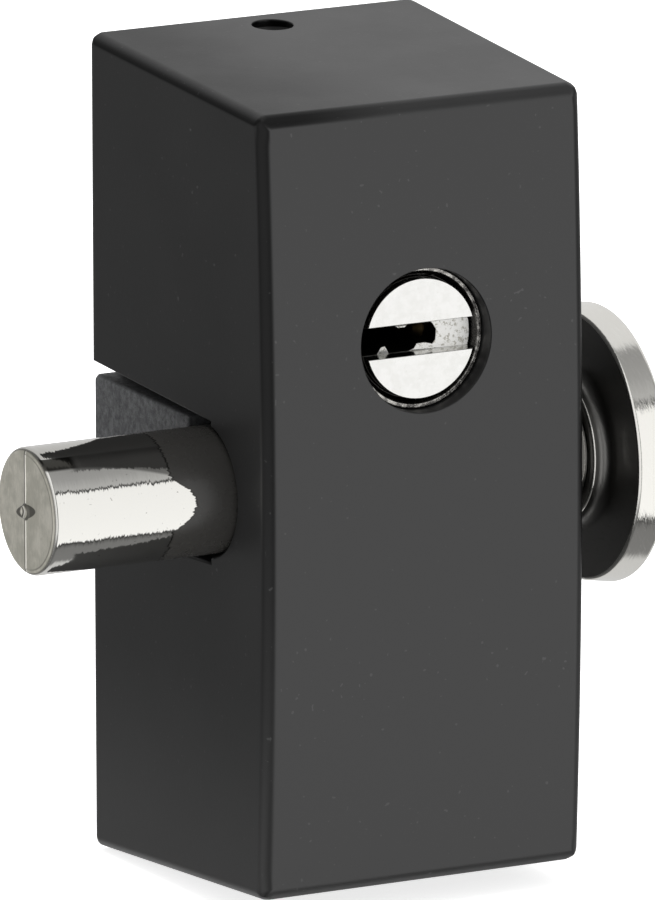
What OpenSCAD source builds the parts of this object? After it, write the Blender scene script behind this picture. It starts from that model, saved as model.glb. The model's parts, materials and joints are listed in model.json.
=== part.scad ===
// Keyed sliding-bolt lock for the face of a door or window frame.
// +X runs along the bolt from its nose to the knob, +Y runs back into the door, +Z is up.
// The mounting face is the plane y = 0, and the origin lies on it at the height of the bolt.

/* [Housing] */
// Height of the housing at the mounting face
housing_h = 70; // [68:1:80]
// Width of the housing at the mounting face
housing_w = 31; // [31:0.5:36]
// Depth from the mounting face to the front edges
housing_d = 29.8; // [29.8:0.1:33]
// How much shorter the front is than the back
taper_h = 3.8; // [0:0.2:4]
// How much narrower the front is than the back
taper_w = 1; // [0:0.1:1]
// How far the middle of the front face bows out
crown = 1; // [0.5:0.05:1]
// Thickness of the cast walls
wall = 2.6; // [2.2:0.1:2.6]

/* [Bolt] */
// Diameter of the bolt
bolt_d = 10.7; // [9.6:0.1:10.8]
// How far the bolt slides
bolt_throw = 16; // [12:0.5:16]
// How far the nose stands out of the housing when thrown
bolt_reach = 16.5; // [14:0.1:20]
// Distance of the bolt's axis from the mounting face
bolt_depth = 20; // [19.8:0.1:20]
// Radial clearance of the bolt in the carrier
bolt_play = 0.05; // [0.03:0.01:0.09]

/* [Knob] */
// Diameter of the knob's front edge
knob_d = 23.9; // [20:0.1:28]
// Length of bare bolt between the housing and the knob's hub
knob_gap = 3; // [3:0.1:8]
// Thickness of the knob from its hub to its face
knob_t = 4.2; // [4.2:0.1:6]

/* [Key cylinder] */
// Height of the key cylinder above the bolt
key_z = 13.1; // [13.1:0.1:13.5]
// Diameter of the turning plug
plug_d = 10.1; // [10:0.05:10.3]
// Number of pin stacks
pin_count = 4; // [2:1:4]
// How far the plug's face lies behind the housing's front
plug_recess = 1; // [0.5:0.1:1.5]

/* [Base plate] */
// Thickness of the steel base plate
plate_t = 6; // [5.6:0.1:6]
// Distance between the fixing holes across the plate
fix_x = 16; // [12:0.5:16]
// Distance between the fixing holes along the plate
fix_z = 40; // [38:0.5:42]
// Diameter of the fixing holes
fix_d = 4.5; // [4:0.1:4.5]

/* [Hidden] */

fine = 96;
gap = 0.05;              // clearance between pieces that are fixed to each other
past = 1;                // how far a cutter runs past the face it cuts

// Housing
half_h = housing_h / 2;
half_w = housing_w / 2;
front_half_h = half_h - taper_h / 2;
front_half_w = half_w - taper_w / 2;
crown_r = (pow(front_half_h, 2) + pow(crown, 2)) / (2 * crown);
edge_cut = 0.9;          // chamfer of the front edges
corner_r = 1.1;          // rounding of the four edges that run back from the front
corner_bite = 0.02;      // how far that rounding cuts in past its tangent
cavity_y = wall - housing_d;
bolt_y = -bolt_depth;
bolt_r = bolt_d / 2;
bolt_hole_r = bolt_r + 0.25;
slot_rear = 7.05;        // half height of the side slots at the mounting face
slot_front = 5.9;        // and where they meet the bolt holes
side_x = half_w - taper_w / 2 * bolt_depth / housing_d;   // side wall beside the bolt
front_y = -housing_d - crown * (1 - pow(key_z / front_half_h, 2));   // front beside the key
grub_y = -3.4;
grub_r = 1.7;
key_bore_r = 6.05;

// Base plate
plate_half_w = half_w - wall - 0.3;
plate_half_h = half_h - wall - 0.5;
plate_corner = 2;
countersink_r = fix_d / 2 + 1.9;

// Carrier
carrier_half_w = front_half_w - wall - 0.2;
carrier_top = front_half_h - wall - 0.3;
carrier_bottom = -16.5;
carrier_front = cavity_y + 0.2;
carrier_back = -plate_t;
room_front = -13.6;      // front wall of the room behind the bolt and the key cylinder
room_half_w = 10.8;
room_bottom = -5;
room_top = key_z + 6.4;
ear_half_rear = 6;
ear_half_front = 5.6;
ear_corner = 0.45;
ear_front = -16.8;
ear_back = -0.25;
ear_recess = 0.2;        // how far the ears lie behind the housing's side walls
screw_x = 7.5;
screw_low = -11.5;
screw_high = carrier_top - 4.7;
m4_r = 2;
m4_head_r = 3.5;
m4_head_h = 4;

// Locking dog on the bolt
dog_w = 5;
dog_x = -bolt_throw / 2;
dog_half_h = 2.3;
dog_top = 5.1;
dog_front = bolt_y + bolt_r - 0.95;
dog_back = -8.8;
dog_screw_r = 1.25;
dog_travel = bolt_throw / 2 + dog_w / 2 + 0.3;

// Key cylinder
plug_r = plug_d / 2;
plug_bore_r = plug_r + 0.05;
plug_face = front_y + plug_recess;
barrel_face = front_y + 1.5;
lip_t = 0.32;            // width of the raised ring on the barrel's face
lip_h = 0.8;             // how far the ring stands proud of the seat round the plug
barrel_neck_r = 5.95;
barrel_r = 6.5;
barrel_back = room_front - 0.2;
step_y = -15.5;          // shoulder that keeps the plug from going in
neck_r = 4.15;
chamber_r = 1.2;
pin_r = 1.15;
pin_pitch = 2.7;
first_pin_y = -25.4;
chamber_start = 0.1;     // where the pin chambers break into the keyway
shear_x = plug_r - 0.15; // end of the key pins, inside the plug's round
driver_x = plug_bore_r + 0.06;
driver_l = 2.2;
block_x = carrier_half_w - 0.2;   // outer face of the block that holds the drivers
block_half_h = 3;
cover_t = 0.4;
cover_x = block_x - cover_t;
keyway_end = -16;
slit_h = 2.7;            // slit across the plug's face, at its mouth
slit_floor_h = 2.35;     // and at its floor
slit_t = 1;
cover_end = 1.3;         // how far the spring cover runs past the end pins
tail = 4.1;              // square tail that drives the cam
tail_y = -12.1;
cam_t = 2;
cam_r = 9.4;
cam_half_w = 4.3;
cam_y = tail_y + 0.1;
washer_t = 0.5;
cam_screw_r = 1.5;
key_pin_tips = [1.2, 0.5, 1.5, 0.9];

// Brake under the bolt
brake_r = 2.5;
pad_bottom = -9.2;
spring_bottom = -12.6;

// Knob
hub_x = side_x + knob_gap;
knob_r = knob_d / 2;
shank_r = 3;
shank_l = 2.2;
nose_x = -side_x - bolt_reach;
pip_r = 0.55;            // pip that parting off leaves on the bolt's end
pip_h = 0.25;
groove_x = -side_x - 0.25;   // shallow groove that ends the nose
groove_w = 0.6;
groove_t = 0.25;

module rod_x(x0, x1, r, y = 0, z = 0) {
    translate([x0, y, z]) rotate([0, 90, 0]) cylinder(h = x1 - x0, r = r, $fn = fine);
}

module rod_y(y0, y1, r, x = 0, z = 0) {
    translate([x, y0, z]) rotate([-90, 0, 0]) cylinder(h = y1 - y0, r = r, $fn = fine);
}

module rod_z(z0, z1, r, x = 0, y = 0) {
    translate([x, y, z0]) cylinder(h = z1 - z0, r = r, $fn = fine);
}

module block(lo, hi) {
    translate(lo) cube(hi - lo);
}

// Extrudes an outline drawn in the Y-Z plane across the width
module across(width) {
    rotate([90, 0, 90]) linear_extrude(width, center = true) children();
}

// Extrudes an outline drawn in the X-Z plane from y0 to y1
module deep(y0, y1) {
    translate([0, y1, 0]) rotate([90, 0, 0]) linear_extrude(y1 - y0) children();
}

// Ring segment points from angle a to b
function arc(cx, cy, r, a, b, n = 10) =
    [for (i = [0:n]) [cx + r * cos(a + (b - a) * i / n), cy + r * sin(a + (b - a) * i / n)]];

// Coil spring along +Z, with its ends closed by flat caps
module coil_spring(r, wire, turns, length) {
    sides = 6;
    steps = 14;
    n = turns * steps;
    points = [
        for (i = [0:n], j = [0:sides - 1])
            let (
                turn = 360 * i / steps,
                roll = 360 * j / sides,
                out = r + wire / 2 * cos(roll)
            )
            [out * cos(turn), out * sin(turn),
             wire / 2 + (length - wire) * i / n + wire / 2 * sin(roll)]
    ];
    sides_faces = [
        for (i = [0:n - 1], j = [0:sides - 1])
            let (k = (j + 1) % sides)
            [i * sides + j, (i + 1) * sides + j, (i + 1) * sides + k, i * sides + k]
    ];
    caps = [
        [for (j = [0:sides - 1]) j],
        [for (j = [sides - 1:-1:0]) n * sides + j]
    ];
    polyhedron(points, concat(sides_faces, caps), convexity = 10);
}

// Hexagonal socket in a screw head, as a cutter along +Z
module hex_socket(across_flats, depth) {
    cylinder(h = depth, r = across_flats / sqrt(3), $fn = 6);
}

module housing_side_outline() {
    front = housing_d + crown + past;
    slope = taper_h / 2 / housing_d;
    intersection() {
        polygon([
            [0, -half_h], [0, half_h],
            [edge_cut - housing_d, front_half_h + slope * edge_cut],
            [-housing_d - 0.2, front_half_h - edge_cut],
            [-front, front_half_h - 1.2 * edge_cut - 1], [-front, -front_half_h + 1.2 * edge_cut + 1],
            [-housing_d - 0.2, edge_cut - front_half_h],
            [edge_cut - housing_d, -front_half_h - slope * edge_cut]
        ]);
        translate([crown_r - housing_d - crown, 0]) circle(r = crown_r, $fn = 720);
    }
}

module housing_plan_outline() {
    front = housing_d + crown;
    slope = taper_w / 2 / housing_d;
    polygon([
        [-half_w, 0], [half_w, 0],
        [front_half_w + slope * edge_cut, edge_cut - housing_d],
        [front_half_w - edge_cut - crown / 2, -front], [-front_half_w + edge_cut + crown / 2, -front],
        [-front_half_w - slope * edge_cut, edge_cut - housing_d]
    ]);
}

// Rounds one of the edges that run back from the front, along their draft
module corner_cutter() {
    reach = housing_d + crown + 2 * past;
    turn_x = atan(taper_h / 2 / housing_d);
    turn_z = -atan(taper_w / 2 / housing_d);
    translate([half_w - corner_bite, 0, half_h - corner_bite]) rotate([turn_x, 0, turn_z])
        difference() {
            block([-corner_r, -reach, -corner_r], [past, past, past]);
            rod_y(-reach - past, 2 * past, corner_r, -corner_r, -corner_r);
        }
}

module side_slot_outline() {
    polygon([
        [past, -slot_rear], [past, slot_rear],
        [bolt_y - past, slot_front], [bolt_y - past, -slot_front]
    ]);
    translate([bolt_y, 0]) circle(r = bolt_hole_r, $fn = fine);
}

module housing() {
    color("#4b4b4b") difference() {
        intersection() {
            across(housing_w + 2 * past) housing_side_outline();
            translate([0, 0, -half_h - past]) linear_extrude(housing_h + 2 * past) housing_plan_outline();
        }
        for (s = [0, 1], t = [0, 1]) mirror([s, 0, 0]) mirror([0, 0, t]) corner_cutter();
        // The hollow, drafted like the outside
        intersection() {
            across(housing_w) polygon([
                [past, wall - half_h], [past, half_h - wall],
                [cavity_y, front_half_h - wall], [cavity_y, wall - front_half_h]
            ]);
            translate([0, 0, -half_h]) linear_extrude(housing_h) polygon([
                [wall - half_w, past], [half_w - wall, past],
                [front_half_w - wall, cavity_y], [wall - front_half_w, cavity_y]
            ]);
        }
        across(housing_w + 2 * past) side_slot_outline();
        rod_y(-housing_d - crown - past, cavity_y + past, key_bore_r, 0, key_z);
        rod_z(half_h - wall - past, half_h + past, grub_r + gap, 0, grub_y);
        rod_z(-half_h - past, wall + past - half_h, grub_r + gap, 0, grub_y);
    }
}

module fixing_hole(x, z) {
    rod_y(-plate_t - past, past, fix_d / 2, x, z);
    translate([x, -plate_t - 0.01, z]) rotate([-90, 0, 0])
        cylinder(h = countersink_r - fix_d / 2, r1 = countersink_r, r2 = fix_d / 2, $fn = fine);
}

module base_plate() {
    color("#9a9a96") difference() {
        union() {
            block([-plate_half_w + plate_corner, -plate_t, -plate_half_h],
                  [plate_half_w - plate_corner, 0, plate_half_h]);
            block([-plate_half_w, -plate_t, -plate_half_h + plate_corner],
                  [plate_half_w, 0, plate_half_h - plate_corner]);
            for (x = [-1, 1], z = [-1, 1])
                rod_y(-plate_t, 0, plate_corner,
                      x * (plate_half_w - plate_corner), z * (plate_half_h - plate_corner));
        }
        for (x = [-1, 1], z = [-1, 1]) fixing_hole(x * fix_x / 2, z * fix_z / 2);
        for (x = [-1, 1], z = [screw_low, screw_high])
            rod_y(-plate_t - past, -1, m4_r + gap, x * screw_x, z);
        // Seats of the grub screws that hold the housing
        rod_z(plate_half_h - 2, plate_half_h + past, grub_r + gap, 0, grub_y);
        rod_z(-plate_half_h - past, 2 - plate_half_h, grub_r + gap, 0, grub_y);
    }
}

// Ears that fill the housing's side slots behind the bolt
module carrier_ears() {
    slope = taper_w / 2 / housing_d;
    ear_front_x = half_w + slope * ear_front - ear_recess;
    ear_back_x = half_w + slope * ear_back - ear_recess;
    intersection() {
        translate([0, 0, -ear_half_rear]) linear_extrude(2 * ear_half_rear)
            for (s = [0, 1]) mirror([s, 0]) polygon([
                [carrier_half_w - past, ear_front], [ear_front_x, ear_front],
                [ear_back_x, ear_back], [plate_half_w + 0.2, ear_back],
                [plate_half_w + 0.2, carrier_back - 0.2], [carrier_half_w - past, carrier_back - 0.2]
            ]);
        across(housing_w) polygon([
            [ear_front, -ear_half_front], [ear_back - ear_corner, -ear_half_rear],
            [ear_back, ear_corner - ear_half_rear], [ear_back, ear_half_rear - ear_corner],
            [ear_back - ear_corner, ear_half_rear], [ear_front, ear_half_front]
        ]);
    }
}

module carrier() {
    color("#3f4042") difference() {
        union() {
            block([-carrier_half_w, carrier_front, carrier_bottom],
                  [carrier_half_w, carrier_back, carrier_top]);
            carrier_ears();
        }
        // Bolt bore, with more room past the side faces
        rod_x(-half_w, half_w, bolt_r + bolt_play, bolt_y);
        for (s = [0, 1]) mirror([s, 0, 0]) rod_x(carrier_half_w, half_w, bolt_hole_r, bolt_y);
        // Room for the dog and the cam, open to the base plate
        block([-room_half_w, room_front, room_bottom], [room_half_w, carrier_back + past, room_top]);
        // Slot that the dog runs in
        block([-dog_travel, bolt_y, -dog_half_h - 0.3], [dog_travel, room_front + past, dog_half_h + 0.3]);
        // Key cylinder's seat
        rod_y(carrier_front - past, room_front + past, barrel_r + gap, 0, key_z);
        block([0, carrier_front - past, key_z - block_half_h - gap],
              [carrier_half_w + past, barrel_back - 0.4, key_z + block_half_h + gap]);
        for (x = [-1, 1], z = [screw_low, screw_high]) {
            rod_y(carrier_front - past, carrier_back + past, m4_r + gap, x * screw_x, z);
            rod_y(carrier_front - past, carrier_front + m4_head_h + gap, m4_head_r + gap, x * screw_x, z);
        }
        // Set-screw hole over the key cylinder, and the brake's hole under the bolt
        rod_z(key_z, carrier_top + past, grub_r + gap, 0, bolt_y);
        rod_z(carrier_bottom - past, 0, brake_r + gap, 0, bolt_y);
    }
}

// Socket-head screws from the carrier's front into the base plate
module carrier_screws() {
    color("#2f3032") for (x = [-1, 1], z = [screw_low, screw_high])
        translate([x * screw_x, carrier_front + m4_head_h, z]) difference() {
            union() {
                rod_y(-m4_head_h, 0, m4_head_r);
                rod_y(-past, -1.4 - carrier_front - m4_head_h, m4_r);
            }
            translate([0, -m4_head_h - 0.01, 0]) rotate([-90, 0, 0]) hex_socket(3, 2.2);
        }
}

module grub_screw(length) {
    difference() {
        rod_z(0, length, grub_r);
        translate([0, 0, length - 1.6]) hex_socket(2, 2);
    }
}

// One from above and one from below, into the edges of the base plate
module grub_screws() {
    length = 3.6;
    color("#303132") for (s = [0, 1]) mirror([0, 0, s])
        translate([0, grub_y, plate_half_h - 1.9]) grub_screw(length);
}

module cylinder_barrel() {
    color("#b9b6ae") difference() {
        union() {
            rod_y(barrel_face, carrier_front + past, barrel_neck_r, 0, key_z);
            rod_y(carrier_front, barrel_back, barrel_r, 0, key_z);
            block([0, carrier_front, key_z - block_half_h],
                  [block_x, barrel_back - 0.5, key_z + block_half_h]);
        }
        rod_y(barrel_face - past, step_y, plug_bore_r, 0, key_z);
        // Conical seat inside the raised ring
        translate([0, barrel_face - 0.01, key_z]) rotate([-90, 0, 0])
            cylinder(h = lip_h, r1 = barrel_neck_r - lip_t, r2 = plug_bore_r + 0.1, $fn = fine);
        rod_y(step_y - past, barrel_back + past, neck_r + 0.05, 0, key_z);
        for (i = [1:pin_count]) rod_x(0, block_x + past, chamber_r, pin_y(i), key_z);
        // Groove that the spring cover is staked into
        block([cover_x, pin_y(1) - cover_end - gap, key_z - 2.2],
              [block_x + past, pin_y(pin_count) + cover_end + gap, key_z + 2.2]);
        // Seat of the set screw
        rod_z(key_z + barrel_r - 0.8, key_z + barrel_r + past, grub_r + gap, 0, bolt_y);
    }
}

function pin_y(i) = first_pin_y + pin_pitch * (i - 1);

module barrel_screw() {
    color("#303132") translate([0, bolt_y, key_z + barrel_r - 0.7]) grub_screw(6);
}

module spring_cover() {
    color("#c9a24c") block([cover_x + 0.02, pin_y(1) - cover_end, key_z - 2.15],
                           [block_x, pin_y(pin_count) + cover_end, key_z + 2.15]);
}

// Outline of the keyway, open to the plug's left side
module keyway_outline() {
    half = slit_floor_h / 2;
    polygon([
        [-plug_r - past, -half], [-3.55, -half], [-3.2, -0.62], [-2.8, -0.55], [-2.45, -half],
        [-0.6, -half], [-0.1, -1], [0.15, -0.62], [0.95, -0.6], [1.6, -0.8], [1.9, -0.45], [1.95, 0.4],
        [1.6, 0.95], [1.3, half], [-0.55, half], [-0.95, 0.85], [-1.6, 0.85], [-2, half],
        [-plug_r - past, half]
    ]);
}

// Slit across the plug's face, its walls drafted towards the floor
module slit_outline() {
    slope = (slit_h - slit_floor_h) / 2 / slit_t;
    mouth = slit_h / 2 + slope * past;
    floor_y = plug_face + slit_t;
    polygon([
        [plug_face - past, -mouth], [floor_y, -slit_floor_h / 2],
        [floor_y, slit_floor_h / 2], [plug_face - past, mouth]
    ]);
}

module plug() {
    color("#dedcd6") translate([0, 0, key_z]) difference() {
        union() {
            rod_y(plug_face, step_y - 0.1, plug_r);
            rod_y(step_y - past, tail_y, neck_r);
            block([-tail / 2, tail_y - past, -tail / 2], [tail / 2, cam_y + cam_t, tail / 2]);
        }
        across(2 * plug_r + past) slit_outline();
        deep(plug_face + slit_t / 2, keyway_end) keyway_outline();
        for (i = [1:pin_count]) rod_x(chamber_start, plug_r + past, chamber_r, pin_y(i));
        // Groove for the circlip
        difference() {
            rod_y(room_front, room_front + 0.8, neck_r + past);
            rod_y(room_front - past, room_front + 1.8, neck_r - 0.55);
        }
        rod_y(keyway_end + 0.4, cam_y + cam_t + past, cam_screw_r + gap);
    }
}

module plug_circlip() {
    color("#6d6e70") translate([0, 0, key_z]) difference() {
        rod_y(room_front + 0.1, room_front + 0.7, neck_r + 1.3);
        rod_y(room_front, room_front + past, neck_r - 0.5);
        block([-1.2, room_front, 0], [1.2, room_front + past, neck_r + 2]);
    }
}

// Points to +X when the bolt is free and straight down when it is locked
module locking_cam() {
    color("#8e8f90") translate([0, 0, key_z]) difference() {
        union() {
            rod_y(cam_y, cam_y + cam_t, 5);
            intersection() {
                rod_y(cam_y, cam_y + cam_t, cam_r);
                block([0, cam_y, -cam_half_w], [cam_r, cam_y + cam_t, cam_half_w]);
            }
        }
        block([-tail / 2 - gap, cam_y - past, -tail / 2 - gap],
              [tail / 2 + gap, cam_y + cam_t + past, tail / 2 + gap]);
    }
}

module cam_washer() {
    y = cam_y + cam_t;
    color("#8e8f90") translate([0, 0, key_z]) difference() {
        rod_y(y, y + washer_t, 3.4);
        rod_y(y - past, y + past, cam_screw_r + 0.1);
    }
}

module cam_screw() {
    y = cam_y + cam_t + washer_t;
    color("#9c9d9e") translate([0, 0, key_z]) difference() {
        union() {
            rod_y(y, y + 1.8, 2.7);
            rod_y(keyway_end + 0.8, y + past, cam_screw_r);
        }
        block([-3, y + 1, -0.4], [3, y + 3, 0.4]);
    }
}

// Brass pin with a cone towards the key
module key_pin(i) {
    tip = key_pin_tips[i - 1];
    color("#c9a24c") translate([0, pin_y(i), key_z]) rotate([0, 90, 0]) {
        translate([0, 0, tip]) cylinder(h = 0.6, r1 = 0.5, r2 = pin_r, $fn = 48);
        translate([0, 0, tip + 0.6]) cylinder(h = shear_x - tip - 0.6, r = pin_r, $fn = 48);
    }
}

module driver_pin(i) {
    color("#b8863a") rod_x(driver_x, driver_x + driver_l, pin_r, pin_y(i), key_z);
}

module driver_spring(i) {
    start = driver_x + driver_l + 0.03;
    color("#a9aaab") translate([start, pin_y(i), key_z]) rotate([0, 90, 0])
        coil_spring(0.9, 0.28, 5, cover_x - start - 0.03);
}

// Nylon shoe that rubs on the bolt so that it stays where it is put
module brake_pad() {
    color("#e8e4d8") difference() {
        rod_z(pad_bottom, -4.2, brake_r - 0.05, 0, bolt_y);
        rod_x(-5, 5, bolt_r + 0.03, bolt_y);
    }
}

module brake_spring() {
    color("#a9aaab") translate([0, bolt_y, spring_bottom + 0.03])
        coil_spring(1.75, 0.5, 3, pad_bottom - spring_bottom - 0.06);
}

module brake_screw() {
    color("#303132") translate([0, bolt_y, spring_bottom]) mirror([0, 0, 1]) difference() {
        rod_z(0, 3.4, brake_r);
        translate([0, 0, 1.6]) hex_socket(2.5, 2);
    }
}

module bolt() {
    round_r = 0.45;
    color("#c9c6bd") translate([0, bolt_y, 0]) difference() {
        union() {
            translate([nose_x, 0, 0]) rotate([0, 90, 0]) rotate_extrude($fn = fine)
                polygon(concat([[0, 0]], arc(bolt_r - round_r, round_r, round_r, -90, 0),
                               [[bolt_r, groove_x - nose_x], [0, groove_x - nose_x]]));
            rod_x(nose_x - pip_h, nose_x + past, pip_r);
            rod_x(groove_x - past, groove_x + groove_w + past, bolt_r - groove_t);
            rod_x(groove_x + groove_w, hub_x - 0.05, bolt_r);
            rod_x(hub_x - past, hub_x + shank_l, shank_r);
        }
        // Flat and tapped hole for the dog, and the tapped hole for the knob's screw
        block([dog_x - dog_w / 2 - 0.1, dog_front - bolt_y, -bolt_r],
              [dog_x + dog_w / 2 + 0.1, bolt_r + past, bolt_r]);
        rod_y(-bolt_r + 6.4, bolt_r + past, dog_screw_r + gap, dog_x);
        rod_x(hub_x - 9, hub_x + shank_l + past, m4_r + gap);
    }
}

module locking_dog() {
    color("#8e8f90") difference() {
        union() {
            block([dog_x - dog_w / 2, dog_front, -dog_half_h],
                  [dog_x + dog_w / 2, dog_back, dog_half_h]);
            block([dog_x - dog_w / 2, room_front + 0.3, -dog_half_h],
                  [dog_x + dog_w / 2, dog_back, dog_top]);
        }
        rod_y(dog_front - past, dog_back + past, dog_screw_r + gap, dog_x);
    }
}

module dog_screw() {
    color("#9c9d9e") translate([dog_x, 0, 0]) difference() {
        union() {
            rod_y(dog_back, dog_back + 1.4, 2.2);
            rod_y(bolt_y - bolt_r + 6.8, dog_back + past, dog_screw_r);
        }
        block([-3, dog_back + 0.8, -0.35], [3, dog_back + 3, 0.35]);
    }
}

module knob() {
    hub_r = 6.2;
    hub_edge = 0.2;
    back = 1.45;         // from the hub's end to the knob's back
    fillet = 1;
    back_r = knob_r - 0.85;
    back_edge = 0.2;
    edge = 0.5;
    color("#cfccc4") translate([hub_x, bolt_y, 0]) rotate([0, 90, 0]) difference() {
        rotate_extrude($fn = fine) polygon(concat(
            [[0, 0], [hub_r - hub_edge, 0], [hub_r, hub_edge]],
            arc(hub_r + fillet, back - fillet, fillet, 180, 90, 8),
            arc(back_r - back_edge, back + back_edge, back_edge, -90, 0, 4),
            arc(knob_r - edge, knob_t - edge, edge, 0, 90, 5),
            [[0, knob_t]]
        ));
        translate([0, 0, -past]) cylinder(h = shank_l + past + 0.1, r = shank_r + gap, $fn = fine);
        cylinder(h = knob_t + past, r = m4_r + gap, $fn = fine);
        translate([0, 0, knob_t - 1.6]) cylinder(h = 1.61, r1 = m4_r + gap, r2 = m4_r + gap + 1.6, $fn = fine);
    }
}

// Countersunk screw from the knob's face into the end of the bolt
module knob_screw() {
    head = 1.6;
    color("#b9b8b4") translate([hub_x, bolt_y, 0]) rotate([0, 90, 0]) difference() {
        union() {
            translate([0, 0, -8]) cylinder(h = 8 + knob_t - head + 0.1, r = m4_r, $fn = fine);
            translate([0, 0, knob_t - head]) cylinder(h = head, r1 = m4_r, r2 = m4_r + head, $fn = fine);
        }
        translate([0, 0, knob_t - 1.2]) hex_socket(2.5, 2);
    }
}

housing();
base_plate();
carrier();
carrier_screws();
grub_screws();
cylinder_barrel();
barrel_screw();
spring_cover();
brake_pad();
brake_spring();
brake_screw();
bolt();
locking_dog();
dog_screw();
knob();
knob_screw();
plug();
plug_circlip();
locking_cam();
cam_washer();
cam_screw();
for (i = [1:pin_count]) {
    key_pin(i);
    driver_pin(i);
    driver_spring(i);
}
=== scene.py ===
import json
from functools import reduce
from math import acos, cos, degrees, exp, hypot, pi, radians, sin
import bmesh
import bpy
from mathutils import Matrix, Vector


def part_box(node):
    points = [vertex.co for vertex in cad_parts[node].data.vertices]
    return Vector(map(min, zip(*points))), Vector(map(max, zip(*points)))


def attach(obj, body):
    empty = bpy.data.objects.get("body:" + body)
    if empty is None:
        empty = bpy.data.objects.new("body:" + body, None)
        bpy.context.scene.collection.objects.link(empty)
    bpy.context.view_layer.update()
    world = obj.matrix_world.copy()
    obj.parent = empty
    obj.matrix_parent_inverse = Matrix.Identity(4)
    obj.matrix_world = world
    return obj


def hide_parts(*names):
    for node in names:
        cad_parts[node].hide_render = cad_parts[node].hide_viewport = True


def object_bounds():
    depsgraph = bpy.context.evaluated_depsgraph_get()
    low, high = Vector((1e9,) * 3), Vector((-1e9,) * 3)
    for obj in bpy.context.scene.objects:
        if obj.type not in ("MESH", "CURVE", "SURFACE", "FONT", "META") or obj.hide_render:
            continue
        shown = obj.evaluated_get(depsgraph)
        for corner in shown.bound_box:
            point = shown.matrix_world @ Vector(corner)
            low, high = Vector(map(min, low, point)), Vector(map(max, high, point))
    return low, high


# Looks of a keyed sliding-bolt lock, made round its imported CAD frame.
# +X runs along the bolt from its nose to the knob, +Y back into the door, +Z up.
# Pieces are modelled in millimetres and turned into metres when they are finished.

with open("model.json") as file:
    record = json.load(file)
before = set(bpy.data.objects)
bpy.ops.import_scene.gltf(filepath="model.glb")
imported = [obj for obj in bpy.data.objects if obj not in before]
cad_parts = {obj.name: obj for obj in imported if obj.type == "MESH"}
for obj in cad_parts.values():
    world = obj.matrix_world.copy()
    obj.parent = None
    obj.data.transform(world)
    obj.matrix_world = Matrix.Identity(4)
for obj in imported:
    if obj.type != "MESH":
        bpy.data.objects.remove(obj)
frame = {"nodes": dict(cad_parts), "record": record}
cad_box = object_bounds()
NODES = frame["nodes"]
MM = 0.001

# ---------------------------------------------------------------- sizes, in mm

TAPER_H = 3.8              # how much shorter the housing's front is than its back
TAPER_W = 1.0
CROWN = 1.0                # how far the middle of the front bows out
WALL = 2.6
SLOT_REAR = 7.05           # half heights of the side slots at the mounting face
SLOT_FRONT = 5.9           # and beside the bolt
FRONT_ROUND = 1.1          # radius of the housing's front edges
SIDE_ROUND = 1.0           # of the edges that run back from them
BACK_ROUND = 0.9           # of the edges round the mounting face
SLOT_ROUND = 0.3           # of the slots' edges
HOLE_ROUND = 0.1           # and of the round holes' edges
BOLT_HOLE_R = 5.6
KEY_BORE_R = 6.05
GRUB_HOLE_R = 1.75
THREAD_PITCH = 0.7         # of the grub screws' holes
THREAD_DEPTH = 0.22
NOSE_ROUND = 0.5
PAST = 1                   # how far a cutter reaches past the face it cuts
SAME_POINT = 0.0005        # points nearer than this become one
SHARP_EDGE = 25            # degrees; sharper edges of a piece are rounded
SHARP_SHADING = 35         # degrees; sharper edges break the smooth shading


def box_mm(node):
    """A CAD node's lowest and highest corner."""
    lo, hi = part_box(node)
    return lo / MM, hi / MM


CASE_LO, CASE_HI = box_mm("housing")
BOLT_LO, BOLT_HI = box_mm("bolt")
KNOB_LO, KNOB_HI = box_mm("knob")
PLUG_LO, PLUG_HI = box_mm("plug")
GRUB_LO, GRUB_HI = box_mm("grub_screws")
DOG_LO, DOG_HI = box_mm("locking_dog")
BOLT_Y = (BOLT_LO.y + BOLT_HI.y) / 2
BOLT_R = (BOLT_HI.z - BOLT_LO.z) / 2
KEY_Z = (PLUG_LO.z + PLUG_HI.z) / 2
KNOB_R = (KNOB_HI.z - KNOB_LO.z) / 2
GRUB_Y = (GRUB_LO.y + GRUB_HI.y) / 2

# ---------------------------------------------------------------- camera

CAMERA_AZIMUTH = -27.723
CAMERA_ELEVATION = 13.138
CAMERA_ROLL = -0.16
CAMERA_DISTANCE = 1284.82
CAMERA_LENS = 616.6
CAMERA_TARGET = Vector((-1.017, -15.0, 0.783))


def make_camera():
    a, e = radians(CAMERA_AZIMUTH), radians(CAMERA_ELEVATION)
    back = Vector((sin(a) * cos(e), -cos(a) * cos(e), sin(e)))
    data = bpy.data.cameras.new("camera")
    data.lens = CAMERA_LENS
    data.clip_start = 0.01
    data.clip_end = 20
    camera = bpy.data.objects.new("camera", data)
    bpy.context.scene.collection.objects.link(camera)
    aim = back.to_track_quat("Z", "Y").to_matrix().to_4x4()
    roll = Matrix.Rotation(radians(CAMERA_ROLL), 4, "Z")
    place = Matrix.Translation((CAMERA_TARGET + back * CAMERA_DISTANCE) * MM)
    camera.matrix_world = place @ aim @ roll
    bpy.context.scene.camera = camera


# ---------------------------------------------------------------- mesh tools


def mesh_object(name, points, faces):
    """A new piece, with its faces turned outwards."""
    mesh = bpy.data.meshes.new(name)
    mesh.from_pydata([tuple(p) for p in points], [], faces)
    piece = bpy.data.objects.new(name, mesh)
    bpy.context.scene.collection.objects.link(piece)
    work = bmesh.new()
    work.from_mesh(mesh)
    bmesh.ops.recalc_face_normals(work, faces=work.faces)
    work.to_mesh(mesh)
    work.free()
    return piece


def turn(axis):
    """Matrix that takes a piece modelled along +Z to the X or Y axis."""
    if axis == "X":
        return Matrix.Rotation(pi / 2, 4, "Y")
    if axis == "Y":
        return Matrix.Rotation(-pi / 2, 4, "X")
    return Matrix.Identity(4)


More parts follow.
